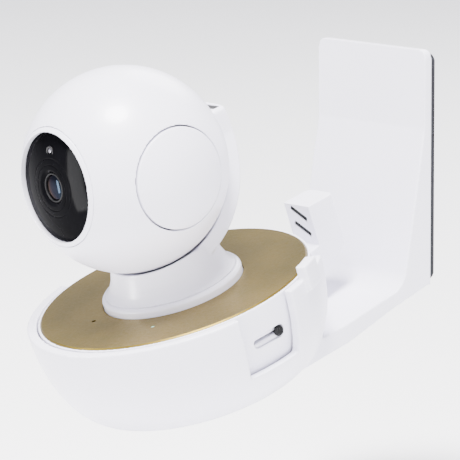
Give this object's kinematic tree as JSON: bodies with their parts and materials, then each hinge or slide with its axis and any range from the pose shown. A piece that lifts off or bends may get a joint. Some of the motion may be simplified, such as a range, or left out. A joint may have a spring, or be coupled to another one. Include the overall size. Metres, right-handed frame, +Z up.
{
  "type": "baby monitor camera",
  "caption": "Pan and tilt ball camera for watching a baby, seated in a cup-shaped adhesive wall mount, with a lift-out base and a switch on its side.",
  "frame": {"origin": "centre of the adhesive pad's wall face", "axes": "+Z up, +Y into the wall, so the lens looks towards -Y; +X is to the right of somebody facing the wall"},
  "size_m": [0.1032, 0.1458, 0.1268],
  "materials": {
    "white_plastic": "satin gloss moulded",
    "foam_tape": "closed-cell foam, matt",
    "gold_cover": "satin champagne metallic",
    "rubber": "matt",
    "screw_steel": "plain",
    "motor_steel": "drawn can",
    "circuit_board": "solder mask",
    "dark_plastic": "fine texture",
    "light_pipe": "clear green",
    "inner_plastic": "plain moulded",
    "bush_bronze": "sintered",
    "button_grey": "fine texture",
    "gear_plastic": "self-coloured",
    "black_window": "high gloss",
    "lens_coating": "coated glass",
    "led_clear": "clear"
  },
  "bodies": {
    "mount": {"wall_bracket": "white_plastic", "adhesive_pad": "foam_tape"},
    "base": {"base_shell": "white_plastic", "base_top_cover": "gold_cover", "rubber_feet": "rubber", "base_screws": "screw_steel", "main_board": "circuit_board", "speaker": "dark_plastic", "microphone": "motor_steel", "status_light": "light_pipe", "power_socket": "dark_plastic", "pan_deck": "inner_plastic", "pan_bearing": "bush_bronze", "pan_motor": "motor_steel", "sensor_pod": "white_plastic", "dust_screen": "dark_plastic", "temperature_sensor": "circuit_board", "switch_housing": "white_plastic"},
    "switch": {"switch_knob": "dark_plastic"},
    "button": {"pair_button": "button_grey"},
    "pinion": {"pan_pinion": "gear_plastic"},
    "pan_head": {"turntable": "white_plastic", "pan_gear": "gear_plastic", "neck_shell": "white_plastic", "neck_back_cover": "white_plastic", "neck_screws": "screw_steel", "neck_plug": "rubber", "tilt_bracket": "inner_plastic", "tilt_axle": "screw_steel", "tilt_gear": "gear_plastic"},
    "ball": {"front_shell": "white_plastic", "rear_shell": "white_plastic", "left_side_cap": "white_plastic", "right_side_cap": "white_plastic", "tilt_bushes": "bush_bronze", "bezel_ring": "white_plastic", "face_window": "black_window", "lens_barrel": "dark_plastic", "lens_glass": "lens_coating", "lens_board": "circuit_board", "infrared_board": "circuit_board", "infrared_leds": "led_clear", "light_sensor": "led_clear", "tilt_motor": "motor_steel", "ball_screws": "screw_steel"},
    "tilt_drive": {"tilt_pinion": "gear_plastic"}
  },
  "joints": [
    {"name": "camera_lift", "type": "slide", "parent": "mount", "child": "base", "axis": [0, -0.342, 0.9397], "range_m": [0, 0.06]},
    {"name": "pan", "type": "hinge", "parent": "base", "child": "pan_head", "pos_m": [0, -0.0926, -0.0383], "axis": [0, -0.342, 0.9397], "range_deg": [-165, 165]},
    {"name": "tilt", "type": "hinge", "parent": "pan_head", "child": "ball", "pos_m": [0, -0.1133, 0.00482], "axis": [-1, 0, 0], "range_deg": [-25, 40]},
    {"name": "pan_pinion_spin", "type": "hinge", "parent": "base", "child": "pinion", "pos_m": [-0.022, -0.0885, -0.04958], "axis": [0, -0.342, 0.9397], "range_deg": [-445, 445]},
    {"name": "tilt_pinion_spin", "type": "hinge", "parent": "ball", "child": "tilt_drive", "pos_m": [0, -0.10714, 0.02174], "axis": [-1, 0, 0], "range_deg": [-52, 82]},
    {"name": "power_switch", "type": "slide", "parent": "base", "child": "switch", "axis": [0.0209, -0.9395, -0.3419], "range_m": [0, 0.0089]},
    {"name": "pair_button_press", "type": "slide", "parent": "base", "child": "button", "axis": [-0.4695, -0.8297, -0.302], "range_m": [0, 0.0008], "stiffness_N_per_m": 800}
  ],
  "couplings": [
    {"joint": "pan_pinion_spin", "follows": "pan", "ratio": -2.6667},
    {"joint": "tilt_pinion_spin", "follows": "tilt", "ratio": 2}
  ]
}
